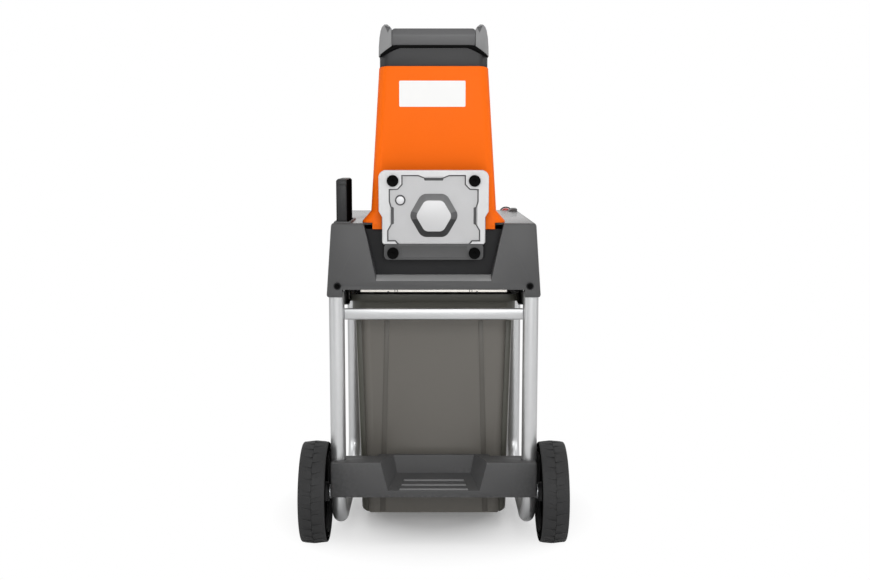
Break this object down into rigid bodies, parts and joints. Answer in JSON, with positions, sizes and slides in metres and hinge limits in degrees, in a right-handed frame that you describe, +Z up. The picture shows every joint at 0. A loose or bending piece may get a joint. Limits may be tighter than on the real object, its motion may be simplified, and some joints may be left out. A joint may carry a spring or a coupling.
{
  "type": "wood chipper",
  "caption": "Two-wheeled roller chipper: feed hopper over a cast cutting chamber, tube frame, foot step and slide-out collecting bin.",
  "frame": {"origin": "on the floor, at the middle of the outline", "axes": "+Z up; +Y to the front, where the bin slides out; the wheels are at the rear, -Y; +X to the right seen from the rear"},
  "size_m": [0.516, 0.6, 1.0026],
  "materials": {
    "orange_plastic": "satin moulded",
    "shroud_plastic": "fine grained",
    "rim_plastic": "fine grained",
    "hub_plastic": "moulded",
    "black_plastic": "moulded",
    "foot_rubber": "matt",
    "tyre_rubber": "matt, lugged",
    "bin_plastic": "smoked translucent",
    "tube_metal": "satin",
    "cast_metal": "die cast",
    "steel": "machined",
    "black_steel": "blackened",
    "copper_winding": "varnished",
    "red_plastic": "gloss",
    "green_plastic": "gloss"
  },
  "bodies": {
    "machine": {"axle": "steel", "chamber_cover": "cast_metal", "chamber_housing": "cast_metal", "chassis_plate": "tube_metal", "discharge_chute": "black_plastic", "feed_throat": "black_plastic", "foot_step": "shroud_plastic", "front_cutter_bearing": "steel", "front_motor_bearing": "steel", "gear_housing": "cast_metal", "grip_bar": "rim_plastic", "hopper": "orange_plastic", "hopper_collar": "shroud_plastic", "hopper_rim": "rim_plastic", "left_bin_rail": "black_plastic", "left_frame_tube": "tube_metal", "left_front_foot": "foot_rubber", "left_low_cover_bolt": "black_steel", "left_shroud_screw": "steel", "left_top_cover_bolt": "black_steel", "left_washer": "steel", "motor_end_shield": "cast_metal", "motor_housing": "cast_metal", "pivot_pin": "steel", "power_inlet": "hub_plastic", "rear_cutter_bearing": "steel", "rear_motor_bearing": "steel", "right_bin_rail": "black_plastic", "right_frame_tube": "tube_metal", "right_front_foot": "foot_rubber", "right_low_cover_bolt": "black_steel", "right_shroud_screw": "steel", "right_top_cover_bolt": "black_steel", "right_washer": "steel", "shroud": "shroud_plastic", "stator": "copper_winding", "switch_box": "black_plastic", "upper_rear_bar": "tube_metal", "vent_grille": "black_plastic"},
    "left_wheel": {"left_tyre": "tyre_rubber", "left_wheel_hub": "hub_plastic", "left_hub_cap": "black_plastic"},
    "right_wheel": {"right_tyre": "tyre_rubber", "right_wheel_hub": "hub_plastic", "right_hub_cap": "black_plastic"},
    "bin": {"collecting_bin": "bin_plastic", "bin_grip": "black_plastic"},
    "lock_lever": {"bin_lock_lever": "shroud_plastic"},
    "start_button": {"start_button": "green_plastic"},
    "stop_button": {"stop_button": "red_plastic"},
    "direction_switch": {"direction_switch": "hub_plastic"},
    "cutter": {"cutter_drum": "steel", "cutter_shaft": "steel", "drive_gear": "steel"},
    "motor_rotor": {"motor_shaft": "steel", "rotor": "steel", "fan": "black_plastic"},
    "counter_plate": {"counter_plate": "steel"},
    "adjusting_screw": {"adjusting_screw": "steel"}
  },
  "joints": [
    {"name": "left_wheel_spin", "type": "hinge", "parent": "machine", "child": "left_wheel", "pos_m": [-0.232, -0.2, 0.1], "axis": [1, 0, 0], "continuous": true},
    {"name": "right_wheel_spin", "type": "hinge", "parent": "machine", "child": "right_wheel", "pos_m": [0.232, -0.2, 0.1], "axis": [1, 0, 0], "continuous": true},
    {"name": "bin_slide", "type": "slide", "parent": "machine", "child": "bin", "axis": [0, 1, 0], "range_m": [0, 0.46]},
    {"name": "lock_lever_slide", "type": "slide", "parent": "machine", "child": "lock_lever", "axis": [0, 0, 1], "range_m": [-0.04, 0]},
    {"name": "start_press", "type": "slide", "parent": "machine", "child": "start_button", "axis": [0, -1, 0], "range_m": [0, 0.003], "stiffness_N_per_m": 400},
    {"name": "stop_press", "type": "slide", "parent": "machine", "child": "stop_button", "axis": [0, -1, 0], "range_m": [0, 0.003], "stiffness_N_per_m": 400},
    {"name": "direction_turn", "type": "hinge", "parent": "machine", "child": "direction_switch", "pos_m": [0.15, 0.2873, 0.575], "axis": [0, 1, 0], "range_deg": [-45, 45]},
    {"name": "cutter_spin", "type": "hinge", "parent": "machine", "child": "cutter", "pos_m": [0, -0.15, 0.6477], "axis": [0, 1, 0], "continuous": true},
    {"name": "motor_spin", "type": "hinge", "parent": "machine", "child": "motor_rotor", "pos_m": [0, 0.02, 0.5625], "axis": [0, 1, 0], "continuous": true},
    {"name": "adjusting_screw_turn", "type": "hinge", "parent": "machine", "child": "adjusting_screw", "pos_m": [-0.0885, -0.155, 0.6177], "axis": [1, 0, 0], "range_deg": [0, 360]},
    {"name": "counter_plate_swing", "type": "hinge", "parent": "machine", "child": "counter_plate", "pos_m": [-0.063, -0.165, 0.675], "axis": [0, -1, 0], "range_deg": [0, 1.5]}
  ],
  "couplings": [
    {"joint": "motor_spin", "follows": "cutter_spin", "ratio": -4},
    {"joint": "counter_plate_swing", "follows": "adjusting_screw_turn", "ratio": 0.004}
  ]
}
